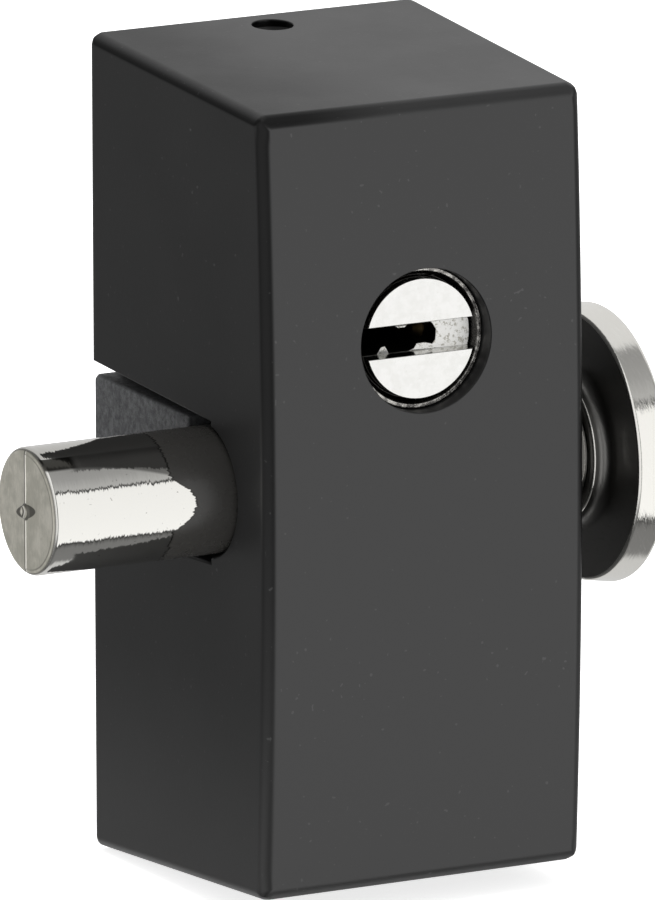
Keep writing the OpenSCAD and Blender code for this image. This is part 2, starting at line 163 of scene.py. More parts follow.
def lathe(name, profile, axis, centre, sides):
    """Solid of revolution from (place along the axis, radius) pairs.

    It closes on the axis where a radius is 0, and into a ring if the first radius isn't.
    """
    angles = [2 * pi * i / sides for i in range(sides)]
    points, rings = [], []
    for along, radius in profile:
        if radius == 0:
            rings.append([len(points)])
            points.append(Vector((0, 0, along)))
            continue
        rings.append(list(range(len(points), len(points) + sides)))
        points += [Vector((radius * cos(a), radius * sin(a), along)) for a in angles]
    faces = []
    closed = rings if profile[0][1] == 0 else rings + rings[:1]
    for low, high in zip(closed, closed[1:]):
        for i in range(sides):
            j = (i + 1) % sides
            corners = [low[i % len(low)], low[j % len(low)], high[j % len(high)], high[i % len(high)]]
            faces.append(list(dict.fromkeys(corners)))
    piece = mesh_object(name, points, faces)
    piece.data.transform(Matrix.Translation(centre) @ turn(axis))
    return piece


def rod(axis, start, end, radius, centre, sides):
    """Plain cylinder along X or Y, used as a cutter; centre is its place in the other two."""
    u, v = centre
    place = Vector((0, u, v)) if axis == "X" else Vector((u, 0, v))
    return lathe("rod", [(start, 0), (start, radius), (end, radius), (end, 0)], axis, place, sides)


def prism_faces(count):
    """Faces of a solid between two outlines of so many points each."""
    sides = [[i, (i + 1) % count, count + (i + 1) % count, count + i] for i in range(count)]
    return [list(range(count)), list(range(count, 2 * count))] + sides


def block(lo, hi):
    outline = [(lo[0], lo[1]), (hi[0], lo[1]), (hi[0], hi[1]), (lo[0], hi[1])]
    points = [(x, y, z) for z in (lo[2], hi[2]) for x, y in outline]
    return mesh_object("block", points, prism_faces(len(outline)))


def arc(centre, radius, start, end, count):
    """Points of an arc, with its angles in degrees."""
    angles = [radians(start + (end - start) * i / count) for i in range(count + 1)]
    return [(centre[0] + radius * cos(a), centre[1] + radius * sin(a)) for a in angles]


def bake(piece):
    """Applies the piece's modifiers."""
    bpy.context.view_layer.update()
    evaluated = piece.evaluated_get(bpy.context.evaluated_depsgraph_get())
    mesh = bpy.data.meshes.new_from_object(evaluated)
    piece.modifiers.clear()
    old, piece.data = piece.data, mesh
    bpy.data.meshes.remove(old)
    return piece


def cut(piece, *cutters):
    """Takes the cutters out of the piece, and removes them."""
    for cutter in cutters:
        modifier = piece.modifiers.new("cut", "BOOLEAN")
        modifier.solver = "EXACT"
        modifier.operation = "DIFFERENCE"
        modifier.object = cutter
    bake(piece)
    for cutter in cutters:
        bpy.data.meshes.remove(cutter.data)


def clean(piece, flat_within=0.3):
    """Joins the coplanar faces that a tessellation or a cut leaves, and drops doubled points."""
    work = bmesh.new()
    work.from_mesh(piece.data)
    bmesh.ops.remove_doubles(work, verts=work.verts, dist=SAME_POINT)
    bmesh.ops.dissolve_limit(work, angle_limit=radians(flat_within), verts=work.verts, edges=work.edges)
    work.to_mesh(piece.data)
    work.free()
    return piece


def round_edges(piece, radius_at, segments):
    """Rounds each sharp edge by the radius that radius_at gives it."""
    work = bmesh.new()
    work.from_mesh(piece.data)
    radii = {}
    for edge in work.edges:
        if len(edge.link_faces) != 2 or edge.calc_face_angle(0) < radians(SHARP_EDGE):
            continue
        radii[edge.index] = radius_at(edge)
    work.free()
    largest = max(radii.values())
    weights = piece.data.attributes.new("bevel_weight_edge", "FLOAT", "EDGE")
    for index, radius in radii.items():
        weights.data[index].value = radius / largest
    modifier = piece.modifiers.new("round", "BEVEL")
    modifier.limit_method = "WEIGHT"
    modifier.width = largest
    modifier.segments = segments
    modifier.use_clamp_overlap = False
    modifier.miter_outer = "MITER_ARC"
    return bake(piece)


def smooth(piece):
    """Smooth shading that keeps broad flat faces flat."""
    smooth_by_angle(piece)
    modifier = piece.modifiers.new("normals", "WEIGHTED_NORMAL")
    modifier.weight = 90
    modifier.keep_sharp = True
    return bake(piece)


def smooth_by_angle(piece):
    """Smooth shading broken only at the sharp edges; alone, it suits a mesh that carries fine relief."""
    piece.data.polygons.foreach_set("use_smooth", [True] * len(piece.data.polygons))
    piece.data.set_sharp_from_angle(angle=radians(SHARP_SHADING))
    return piece


def hand_over(piece, name, body, slot, material, *replaced):
    """Turns a finished mesh into metres and hands it to the frame."""
    piece.name = name
    piece.data.name = name
    piece.data.transform(Matrix.Scale(MM, 4))
    piece.data.materials.clear()
    piece.data.materials.append(material)
    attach(piece, body)
    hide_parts(*replaced)


def copy_of(node):
    """A CAD node's own shape as a new piece, in mm. The node itself stays as it is."""
    mesh = NODES[node].data.copy()
    piece = bpy.data.objects.new(node + "_copy", mesh)
    bpy.context.scene.collection.objects.link(piece)
    mesh.transform(Matrix.Scale(1 / MM, 4))
    mesh.materials.clear()
    return clean(piece)


# ---------------------------------------------------------------- housing

CASE_DEPTH = -CASE_LO.y - CROWN       # at its top and bottom
FRONT_HALF = CASE_HI.z - TAPER_H / 2  # half height of the front
FRONT_STRIPS = 28                     # that the bowed front is made of
ON_FACE = 0.02                        # an edge this near a side or an end lies on it
ON_FRONT = 0.05                       # and this near the front
ON_BACK = 0.01                        # and this near the back


def case_front(z):
    """How far forward the bowed front reaches at height z."""
    return CASE_LO.y + CROWN * (z / FRONT_HALF) ** 2


def case_half_width(y):
    return CASE_HI.x + TAPER_W / 2 * y / CASE_DEPTH


def case_half_height(y):
    return CASE_HI.z + TAPER_H / 2 * y / CASE_DEPTH


def housing_block():
    """Drafted block whose front is bowed from top to bottom."""
    heights = [FRONT_HALF * (2 * i / FRONT_STRIPS - 1) for i in range(FRONT_STRIPS + 1)]
    points = []
    for side in (-1, 1):
        points += [(side * CASE_HI.x, 0, CASE_LO.z), (side * CASE_HI.x, 0, CASE_HI.z)]
        fronts = [(case_front(z), z) for z in reversed(heights)]
        points += [(side * case_half_width(y), y, z) for y, z in fronts]
    return mesh_object("housing", points, prism_faces(len(points) // 2))


def housing_hollow():
    """The room inside the walls, which taper as the outside does."""
    half_w, half_h = CASE_HI.x - WALL, CASE_HI.z - WALL
    points = []
    for y, shrink in ((PAST, 0), (WALL - CASE_DEPTH, 1)):
        w, h = half_w - shrink * TAPER_W / 2, half_h - shrink * TAPER_H / 2
        points += [(-w, y, -h), (w, y, -h), (w, y, h), (-w, y, h)]
    return mesh_object("hollow", points, prism_faces(4))


def side_slot():
    """Slot from the mounting face to the bolt, ending round the bolt."""
    into_bolt = 1
    end = BOLT_Y - into_bolt
    meet = degrees(acos(-into_bolt / BOLT_HOLE_R))
    round_end = arc((BOLT_Y, 0), BOLT_HOLE_R, 360 - meet, meet, 40)
    rear = [(PAST, SLOT_REAR), (PAST, -SLOT_REAR), (end, -SLOT_FRONT)]
    outline = [(end, SLOT_FRONT)] + rear + round_end
    outside = 20
    points = [(x, y, z) for x in (-outside, outside) for y, z in outline]
    return mesh_object("slot", points, prism_faces(len(outline)))


def threaded_hole(start, end, first):
    """Cutter for a grub screw's hole: a rod with three ridges, from first up, for the grooves."""
    crest_at, foot_at = THREAD_PITCH * 0.45, THREAD_PITCH * 0.9
    profile = [(start, 0), (start, GRUB_HOLE_R)]
    for turn_no in range(3):
        foot = first + turn_no * THREAD_PITCH
        profile += [(foot, GRUB_HOLE_R), (foot + crest_at, GRUB_HOLE_R + THREAD_DEPTH),
                    (foot + foot_at, GRUB_HOLE_R)]
    profile += [(end, GRUB_HOLE_R), (end, 0)]
    return lathe("thread", profile, "Z", Vector((0, GRUB_Y, 0)), 64)


def middle_of(edge):
    return (edge.verts[0].co + edge.verts[1].co) / 2


def housing_radius(edge):
    """Which radius an edge of the housing gets, by where it lies."""
    middle = middle_of(edge)
    on_side = abs(abs(middle.x) - case_half_width(middle.y)) < ON_FACE
    on_end = abs(abs(middle.z) - case_half_height(middle.y)) < ON_FACE
    on_front = middle.y < case_front(middle.z) + ON_FRONT
    on_back = middle.y > -ON_BACK
    if on_front and (on_side or on_end):
        return FRONT_ROUND
    if on_side and on_end:
        return SIDE_ROUND
    if on_back and (on_side or on_end):
        return BACK_ROUND
    if on_side:
        return SLOT_ROUND
    return HOLE_ROUND if on_end or on_front else 0.0


def make_housing():
    piece = housing_block()
    cut(piece, housing_hollow())
    cut(piece, side_slot())
    cut(piece, rod("Y", CASE_LO.y - PAST, WALL, KEY_BORE_R, (0, KEY_Z), 96))
    low_inside, high_inside = CASE_LO.z + WALL, CASE_HI.z - WALL
    cut(piece, threaded_hole(CASE_LO.z - PAST, low_inside + PAST, CASE_LO.z + 0.4),
        threaded_hole(high_inside - PAST, CASE_HI.z + PAST, high_inside + 0.1))
    clean(piece, 0.05)
    round_edges(piece, housing_radius, segments=5)
    return smooth(piece)


# ---------------------------------------------------------------- bolt

LINE_H = 0.07              # height of the parting line across the bolt's end
LINE_W = 0.06
PIP_H = 0.25               # the pip stands this far out of the end, inside an eye-shaped dent
PIP_R = 0.45
PIP_FLANK = 0.2            # how fast it falls away outside that radius
PIP_CUP = 0.14             # how much lower its middle is
DENT = (1.7, 0.66)         # half width and half height of the dent
DENT_DEPTH = 0.2
DENT_SKEW = 0.2            # its fall to the front for each millimetre along it
DENT_SIDES = 2.5           # steepness of its sides
KNOB_SEAT_R = 3.0          # of the spigot that carries the knob
KNOB_SCREW_R = 2.05
DOG_SCREW_R = 1.3
SEAT_GAP = 0.1             # along the bolt, on each side of the dog
FACE_X = BOLT_LO.x + PIP_H   # the end's face
CAP_R = BOLT_R - NOSE_ROUND  # and how far it is flat


def nose_relief(y, z):
    """How far the bolt's end stands out at a place on it."""
    line = LINE_H * exp(-((y / LINE_W) ** 2))
    out = hypot(y, z)
    if out > PIP_R:
        pip = PIP_H * exp(-(((out - PIP_R) / PIP_FLANK) ** 2))
    else:
        pip = PIP_H - PIP_CUP * (1 - (out / PIP_R) ** 2)
    inside = 1 - abs(y) / DENT[0] - ((z + DENT_SKEW * y) / DENT[1]) ** 2
    dent = DENT_DEPTH * min(1.0, max(0.0, inside) * DENT_SIDES)
    return max(pip, (line if inside < 0 else 0.0) - dent)


def nose_angles():
    """Ring angles over the top from +Y to -Y, close together near the parting line."""
    near = [0.3, 0.6, 0.9, 1.2] + [1.7 + 0.62 * i for i in range(30)]
    wide = [22 + 68 * i / 30 for i in range(31)]
    quarter = [90 - a for a in sorted(near + wide, reverse=True)]
    half = quarter + [90] + [180 - a for a in reversed(quarter)]
    return [radians(a) for a in half]


def bolt_profile():
    """Outline of the turned part, as (x, radius) from the end's rim to the middle of the far end."""
    profile = [(FACE_X + NOSE_ROUND - NOSE_ROUND * cos(radians(a)), CAP_R + NOSE_ROUND * sin(radians(a)))
               for a in range(0, 91, 9)]
    shoulder = KNOB_LO.x - 0.05
    shaft_rings = (FACE_X + NOSE_ROUND + 0.1, -20, -10, 0, 10, shoulder - 0.2, shoulder - 0.15)
    profile += [(x, BOLT_R) for x in shaft_rings]
    profile += [(shoulder, BOLT_R - 0.15), (shoulder, KNOB_SEAT_R), (BOLT_HI.x - 0.3, KNOB_SEAT_R),
                (BOLT_HI.x, KNOB_SEAT_R - 0.3), (BOLT_HI.x, 0)]
    return profile


def turned_skin(profile, angles):
    """Points, faces and first ring of a skin turned round the bolt's axis and closed at its far end."""
    points, faces, rings = [], [], []
    count = len(angles)
    for x, radius in profile[:-1]:
        rings.append(list(range(len(points), len(points) + count)))
        points += [(x, BOLT_Y + radius * cos(a), radius * sin(a)) for a in angles]
    tip = len(points)
    points.append((profile[-1][0], BOLT_Y, 0))
    for low, high in zip(rings, rings[1:]):
        faces += [[low[i], low[(i + 1) % count], high[(i + 1) % count], high[i]] for i in range(count)]
    faces += [[rings[-1][i], rings[-1][(i + 1) % count], tip] for i in range(count)]
    return points, faces, rings[0]


def add_end(points, faces, rim, half):
    """Fills the first ring with upright columns of points that carry the end's relief.

    The columns share their top and bottom points with the ring. half is the angles of its upper half.
    """
    fine_rows = [0.0125 * i for i in range(1, 13)]
    wide_rows = [0.18, 0.22, 0.27, 0.33, 0.4, 0.48, 0.56, 0.64, 0.72, 0.79, 0.85, 0.9, 0.94, 0.97, 0.99]
    rows = sorted([0.0] + [side * t for t in fine_rows + wide_rows for side in (-1, 1)])
    columns = [[rim[0]]]
    for k in range(1, len(half) - 1):
        y, reach = CAP_R * cos(half[k]), CAP_R * sin(half[k])
        column = [rim[len(rim) - k]]
        for t in rows:
            z = t * reach
            column.append(len(points))
            points.append((FACE_X - nose_relief(y, z), BOLT_Y + y, z))
        columns.append(column + [rim[k]])
    columns.append([rim[len(half) - 1]])
    for a, b in zip(columns, columns[1:]):
        last_a, last_b = len(a) - 1, len(b) - 1
        for j in range(max(last_a, last_b)):
            corners = [a[min(j, last_a)], a[min(j + 1, last_a)], b[min(j + 1, last_b)], b[min(j, last_b)]]
            faces.append(list(dict.fromkeys(corners)))


def make_bolt():
    half = nose_angles()
    points, faces, rim = turned_skin(bolt_profile(), half + [2 * pi - a for a in reversed(half[1:-1])])
    add_end(points, faces, rim, half)
    piece = mesh_object("bolt", points, faces)
    middle = (DOG_LO.x + DOG_HI.x) / 2
    dog_screw_tip, knob_screw_tip = BOLT_Y + 1, KNOB_LO.x - 9
    outside = 6
    cut(piece, block((DOG_LO.x - SEAT_GAP, DOG_LO.y, -outside),
                     (DOG_HI.x + SEAT_GAP, BOLT_Y + outside, outside)))
    cut(piece, rod("Y", dog_screw_tip, BOLT_Y + outside, DOG_SCREW_R, (middle, 0), 48))
    cut(piece, rod("X", knob_screw_tip, BOLT_HI.x + PAST, KNOB_SCREW_R, (BOLT_Y, 0), 48))
    return smooth_by_angle(piece)


# ---------------------------------------------------------------- knob


def make_knob():
    """Conical disc on a low hub, turned round the bolt's axis."""
    hub_r, hub_h, fillet = 6.2, 1.45, 1.0
    back_r, back_edge = KNOB_R - 0.8, 0.35
    start, face = KNOB_LO.x, KNOB_HI.x
    bore_r, bore_end, sink = KNOB_SEAT_R + 0.05, start + 2.3, 1.6
    profile = [(bore_end, bore_r), (start, bore_r)]
    profile += [(start + h, r) for r, h in arc((hub_r - 0.2, 0.2), 0.2, -90, 0, 6)]
    profile += [(start + h, r) for r, h in arc((hub_r + fillet, hub_h - fillet), fillet, 180, 90, 14)]
    profile += [(start + hub_h, r) for r in (8, 9, 10)]
    profile += [(start + h, r) for r, h in arc((back_r, hub_h + back_edge), back_edge, -90, -6, 10)]
    profile += [(face + h, r) for r, h in arc((KNOB_R - 0.65, -0.5), 0.5, 0, 90, 10)]
    profile += [(face, r) for r in (9, 7, 5)]
    profile += [(face, KNOB_SCREW_R + sink), (face - sink, KNOB_SCREW_R), (bore_end, KNOB_SCREW_R)]
    return smooth(lathe("knob", profile, "X", Vector((0, BOLT_Y, 0)), 224))


# ---------------------------------------------------------------- pieces that keep their CAD shape


def softened(node, radius, zone=None):
    """A CAD node with its outside edges rounded, everywhere or where zone(point) is true."""
    piece = copy_of(node)

    def radius_at(edge):
        if not edge.is_convex or (zone and not zone(middle_of(edge))):
            return 0.0
        return radius

    return smooth(round_edges(piece, radius_at, segments=3))


# ---------------------------------------------------------------- materials


class Nodes:
    """A node tree, with short ways to add and link nodes."""

    def __init__(self, tree):
        self.tree = tree
        tree.nodes.clear()

    def add(self, kind, inputs=None, **settings):
        made = self.tree.nodes.new("ShaderNode" + kind)
        for key, value in settings.items():
            setattr(made, key, value)
        self.feed(made, inputs or {})
        return made

    def feed(self, made, inputs):
        for key, value in inputs.items():
            if isinstance(value, bpy.types.NodeSocket):
                self.tree.links.new(value, made.inputs[key])
            else:
                made.inputs[key].default_value = value

    def math(self, operation, *values, **settings):
        return self.add("Math", dict(enumerate(values)), operation=operation, **settings).outputs[0]

    def plus(self, *values):
        return reduce(lambda a, b: self.math("ADD", a, b), values)

    def minus(self, a, b):
        return self.math("SUBTRACT", a, b)

    def times(self, *values):
        return reduce(lambda a, b: self.math("MULTIPLY", a, b), values)

    def most(self, *values):
        return reduce(lambda a, b: self.math("MAXIMUM", a, b), values)

    def unsigned(self, value):
        return self.math("ABSOLUTE", value)

    def hypot(self, a, b):
        return self.math("SQRT", self.plus(self.times(a, a), self.times(b, b)))

    def vector(self, operation, a, b):
        return self.add("VectorMath", {0: a, 1: b}, operation=operation).outputs[0]

    def scaled(self, a, factor):
        return self.add("VectorMath", {0: a, "Scale": factor}, operation="SCALE").outputs[0]

    def split(self, vector):
        return self.add("SeparateXYZ", {0: vector}).outputs

    def between(self, value, low, high, out_low=0.0, out_high=1.0):
        made = self.add("MapRange", {"Value": value, "From Min": low, "From Max": high,
                                     "To Min": out_low, "To Max": out_high},
                        interpolation_type="SMOOTHSTEP")
        return made.outputs["Result"]

    def blend(self, factor, a, b):
        return self.add("Mix", {"Factor": factor, "A": a, "B": b}, data_type="RGBA").outputs["Result"]


class Shader(Nodes):
    """A material of one principled surface."""

    def __init__(self, name):
        self.material = bpy.data.materials.new(name)
        self.material.use_nodes = True
        super().__init__(self.material.node_tree)
        self.surface = self.add("BsdfPrincipled")
        self.add("OutputMaterial", {0: self.surface.outputs[0]})

    def place_mm(self):
        """The surface's own place, in mm."""
        return self.scaled(self.add("TexCoord").outputs["Object"], 1 / MM)

    def normal(self, kind="Normal"):
        return self.add("NewGeometry").outputs[kind]

    def stretched(self, place, factors):
        return self.vector("MULTIPLY", place, factors)

    def radius(self, place, centre, plane):
        """Distance from an axis through centre; plane is 1 in the two directions across it."""
        flat = self.vector("MULTIPLY", self.vector("SUBTRACT", place, centre), plane)
        return self.add("VectorMath", {0: flat}, operation="LENGTH").outputs["Value"]

    def noise(self, place, scale, detail=3, roughness=0.5):
        made = self.add("TexNoise", {"Vector": place, "Scale": scale, "Detail": detail,
                                     "Roughness": roughness})
        return made.outputs["Fac"]

    def bump(self, height, distance_mm, normal=None):
        inputs = {"Height": height, "Distance": distance_mm * MM, "Strength": 1.0}
        if normal is not None:
            inputs["Normal"] = normal
        return self.add("Bump", inputs).outputs["Normal"]

    def surface_is(self, **inputs):
        self.feed(self.surface, {key.replace("_", " "): value for key, value in inputs.items()})
        return self.material


def rgb(r, g, b):
    return (r, g, b, 1)


def grey(level):
    return rgb(level, level, level)


def powder_coat():
    """Satin black coat: a very fine orange peel, faint clouding and a few specks.

    Painted shade makes it darker along the edges between its front and its sides and at the left of its
    top, and painted light makes it lighter low on its left side, as in the photo. A dark metal has no
    diffuse light, so that is what the darker places fade to.
    """
    s = Shader("powder_coat")
    where = s.place_mm()
    cloud = s.noise(where, 0.12, 4, 0.6)
    grain = s.noise(where, 9, 2, 0.6)
    peel = s.noise(where, 2.2, 2)
    specks = s.between(s.noise(where, 2.6, 0), 0.80, 0.84)
    colour = s.blend(cloud, rgb(0.010, 0.010, 0.0101), rgb(0.014, 0.014, 0.0141))
    colour = s.blend(s.times(specks, 0.4), colour, grey(0.08))
    rough = s.plus(s.between(cloud, 0.3, 0.7, 0.37, 0.41), s.times(grain, 0.04))
    across, out, up = s.split(s.normal())
    x, _, z = s.split(where)
    # Painted shade: the edges between the front and the sides turn to dark metal, more so towards the
    # top.
    edge = s.between(s.unsigned(s.times(across, out)), 0.1, 0.36)
    edge = s.times(edge, s.between(z, -30, 10, 0.45, 0.8))
    # Painted shade: the left of the top turns to dark metal.
    painted_shade_top = s.times(s.between(up, 0.1, 0.4), s.between(x, 0, -13, 0, 0.75))
    # Painted light: lighter low on the left side, where the floor's light falls.
    painted_floor_light = s.times(s.between(across, -0.5, -0.9), s.between(z, -13, -38))
    colour = s.blend(painted_floor_light, colour, grey(0.032))
    normal = s.bump(peel, 0.004, s.bump(grain, 0.002))
    return s.surface_is(Base_Color=colour, Metallic=s.most(edge, painted_shade_top), Roughness=rough,
                        Normal=normal, IOR=1.6)


def cast_zinc():
    """Raw dark casting with a mottled, slightly pitted skin."""
    s = Shader("cast_zinc")
    where = s.place_mm()
    mottle = s.noise(where, 1.6, 6, 0.7)
    grain = s.noise(where, 7, 3, 0.6)
    pits = s.between(s.noise(where, 3.1, 2), 0.62, 0.72)
    colour = s.blend(s.between(mottle, 0.3, 0.7), rgb(0.050, 0.051, 0.054), rgb(0.115, 0.117, 0.12))
    colour = s.blend(s.times(pits, 0.7), colour, rgb(0.02, 0.02, 0.022))
    rough = s.between(mottle, 0.25, 0.75, 0.62, 0.45)
    normal = s.bump(s.plus(mottle, s.times(grain, 0.35)), 0.10)
    return s.surface_is(Base_Color=colour, Roughness=rough, Metallic=0.35, Normal=normal)


def turned_normal(s, where, amount, fine=9.0):
    """A normal that wavers round the X axis, as the marks that turning leaves do."""
    along = s.stretched(where, (1.0, 0.07, 0.07))
    marks = s.noise(along, fine, 2, 0.6)
    slow = s.noise(along, 0.9, 2)
    mean = 0.65
    waver = s.minus(s.plus(marks, s.times(slow, 0.3)), mean)
    normal = s.normal()
    tangent = s.vector("CROSS_PRODUCT", (1, 0, 0), normal)
    nudge = s.scaled(tangent, s.times(waver, amount))
    return s.vector("NORMALIZE", s.vector("ADD", normal, nudge), (0, 0, 0))


# Painted reflections and painted shade along the bolt, in mm. They stand for what the real bolt mirrors
# beside the camera.
DARK_BAND_FOOT = 3.95           # height above the axis where the painted dark band on the bolt's top begins
DARK_BAND_DROP = 0.015          # its foot falls by this times the square of the way past the nose
DARK_BAND_RUN = 10              # and over no more than this
DARK_PATCH_END = 2.9           # the painted dark band is darkest up to this far from the nose
CREST = 4.78               # height above the axis where the crest's painted reflection, paler than the dark band, begins
SHADE_RING_EDGE = -18.4        # place of the painted shade ring's edge on the middle of the highlight
HIGHLIGHT_Z = 0.3          # that middle's height
SHADE_RING_BULGE = 0.41        # the edge falls back by this times the square of the way from it
SHADE_RING_BACK = 2.0          # and by no more than this


def bolt_shaft(s, where, x, z):
    """Colour of the bolt's shaft, with its painted reflections, and how strong the painted shade ring
    beside the housing is.
    """
    speck = s.between(s.noise(where, 3.2, 1), 0.72, 0.78)
    shaft = s.blend(s.times(speck, 0.6), rgb(0.84, 0.83, 0.79), rgb(0.35, 0.34, 0.31))
    # Painted reflection: a dark patch on the top beside the nose.
    dark_patch_end = BOLT_LO.x + DARK_PATCH_END
    painted_dark_patch = s.times(s.between(z, DARK_BAND_FOOT, DARK_BAND_FOOT + 0.2), s.between(z, CREST + 0.08, CREST),
                     s.between(x, dark_patch_end + 1, dark_patch_end))
    shaft = s.blend(painted_dark_patch, shaft, rgb(0.06, 0.058, 0.052))
    # Painted reflection: a thinner dark band along the top behind it, fading out before the housing.
    past_nose = s.most(s.minus(x, BOLT_LO.x + 2), 0.0)
    past_nose = s.math("MINIMUM", past_nose, DARK_BAND_RUN)
    foot = s.minus(DARK_BAND_FOOT, s.times(past_nose, past_nose, DARK_BAND_DROP))
    painted_dark_band = s.times(s.between(s.minus(z, foot), 0, 0.25), s.between(z, 5.1, 4.7),
                   s.between(x, dark_patch_end, dark_patch_end + 1, 0, 0.75), s.between(x, -15.5, -18.5))
    shaft = s.blend(painted_dark_band, shaft, rgb(0.14, 0.137, 0.13))
    # Painted reflection: the crest is paler than the dark band below it but dimmer than the shaft.
    shaft = s.blend(s.between(z, CREST, CREST + 0.12), shaft, rgb(0.58, 0.57, 0.54))
    # Painted shade: a dark, non-metallic ring beside the housing, with a ragged, bulging edge, ends the
    # highlight.
    height = s.unsigned(s.minus(z, HIGHLIGHT_Z))
    bulge = s.math("MINIMUM", s.times(height, height, SHADE_RING_BULGE), SHADE_RING_BACK)
    ragged = s.times(s.noise(s.stretched(where, (0.3, 5, 5)), 1.0, 2), 0.8)
    painted_shade_ring = s.between(s.plus(x, bulge, ragged), SHADE_RING_EDGE, SHADE_RING_EDGE + 0.35)
    painted_shade_ring = s.times(painted_shade_ring, s.between(x, -12, -14))
    return s.blend(s.between(painted_shade_ring, 0, 0.5), shaft, rgb(0.03, 0.029, 0.027)), painted_shade_ring


def bolt_end(s, x, y, z, stain, brushed):
    """Colour of the bolt's end: stained, with painted shade round its pip, in its dent, beside its line,
    where it lies back and at its rim, and a painted highlight on its line.
    """
    out = s.hypot(y, z)
    dull = s.blend(s.between(stain, 0.35, 0.65), rgb(0.70, 0.675, 0.595), rgb(0.53, 0.515, 0.445))
    dull = s.blend(s.between(brushed, 0.3, 0.7, 0, 0.4), dull, rgb(0.34, 0.33, 0.285))
    # Painted highlight: a bright strip along the parting line.
    painted_ridge_highlight = s.between(s.unsigned(s.minus(y, 0.02)), 0.12, 0.05)
    dull = s.blend(s.times(painted_ridge_highlight, 0.7), dull, rgb(0.98, 0.96, 0.90))
    # Painted shade: dark where the end lies back from its face, beside the line, round the pip, at the
    # dent's edge and, more so towards the front, at the rim.
    low = s.between(x, FACE_X + 0.02, FACE_X + 0.12)
    beside_line = s.between(s.unsigned(s.minus(y, 0.2)), 0.12, 0.05)
    rise = s.times(s.plus(z, s.times(y, DENT_SKEW)), 1 / DENT[1])
    away = s.plus(s.unsigned(s.times(y, 1 / DENT[0])), s.times(rise, rise))
    in_dent = s.times(s.between(away, 1.08, 0.98), s.between(out, 0.5, 0.6))
    dent = s.times(in_dent, s.most(s.between(away, 0.5, 0.75), s.between(y, -0.2, -0.45)))
    round_pip = s.between(s.unsigned(s.minus(out, 0.62)), 0.14, 0.05)
    rim = s.between(s.unsigned(s.minus(out, CAP_R - 0.02)), 0.09, 0.04)
    rim = s.times(rim, s.between(y, 1.0, -2.5, 0, 0.6))
    painted_shade = s.most(low, beside_line, round_pip, rim, dent)
    return s.blend(s.times(painted_shade, 0.85), dull, rgb(0.05, 0.048, 0.042))


def polished_nickel():
    """The bolt: bright plating over turning marks, with a dull and stained end."""
    s = Shader("polished_nickel")
    where = s.place_mm()
    x, y, z = s.split(where)
    y = s.minus(y, BOLT_Y)
    facing = s.unsigned(s.split(s.normal("True Normal"))["X"])
    flat = s.most(s.between(facing, 0.55, 0.8), s.between(s.hypot(y, z), 2.6, 2.4))
    end = s.times(s.between(x, BOLT_LO.x + 1.0, BOLT_LO.x + 0.9), flat)
    stain = s.noise(where, 0.55, 4, 0.6)
    brushed = s.noise(s.stretched(where, (1, 6, 0.7)), 1.6, 4, 0.7)
    shaft, painted_shade_ring = bolt_shaft(s, where, x, z)
    colour = s.blend(end, shaft, bolt_end(s, x, y, z, stain, brushed))
    # The painted shade ring is also rougher and loses its metal.
    rough = s.plus(s.times(end, 0.36), s.between(stain, 0.3, 0.7, 0.04, 0.07), s.times(painted_shade_ring, 0.22))
    normal = s.bump(s.times(brushed, end), 0.012, turned_normal(s, where, 0.16))
    metal = s.times(s.between(end, 0, 1, 1.0, 0.6), s.between(painted_shade_ring, 0.5, 1, 1, 0.03))
    return s.surface_is(Base_Color=colour, Roughness=rough, Metallic=metal, Normal=normal)


def brushed_nickel():
    """The knob: scratches slant across its bright rim, and its back is painted dark, a painted reflection
    of the dark housing.
    """
    s = Shader("brushed_nickel")
    where = s.place_mm()
    slanted = s.add("VectorRotate", {"Vector": where, "Axis": (0, 1, 0), "Angle": radians(28)}).outputs[0]
    scratch = s.noise(s.stretched(slanted, (5.0, 0.6, 0.5)), 1.5, 3, 0.7)
    lines = s.between(scratch, 0.56, 0.64)
    cloud = s.noise(where, 0.4)
    colour = s.blend(s.times(lines, 0.35), rgb(0.88, 0.865, 0.82), rgb(0.97, 0.955, 0.92))
    height = s.minus(s.split(where)["X"], KNOB_LO.x)
    out = s.radius(where, (0, BOLT_Y, 0), (0, 1, 1))
    # Painted reflection: the back, inside its edge and apart from the hub's rim, is dark and rougher.
    inner = s.times(s.between(height, 1.52, 1.48), s.between(out, KNOB_R - 0.72, KNOB_R - 0.78))
    hub_rim = s.times(s.between(height, 0.2, 0.16), s.between(out, 6.0, 6.06))
    back = s.math("SUBTRACT", inner, hub_rim, use_clamp=True)
    colour = s.blend(back, colour, rgb(0.21, 0.206, 0.198))
    rough = s.plus(s.between(cloud, 0.3, 0.7, 0.06, 0.10), s.times(lines, 0.12), s.times(back, 0.24))
    normal = s.bump(scratch, 0.012, turned_normal(s, where, 0.10, 7.0))
    return s.surface_is(Base_Color=colour, Roughness=rough, Metallic=1.0, Normal=normal)


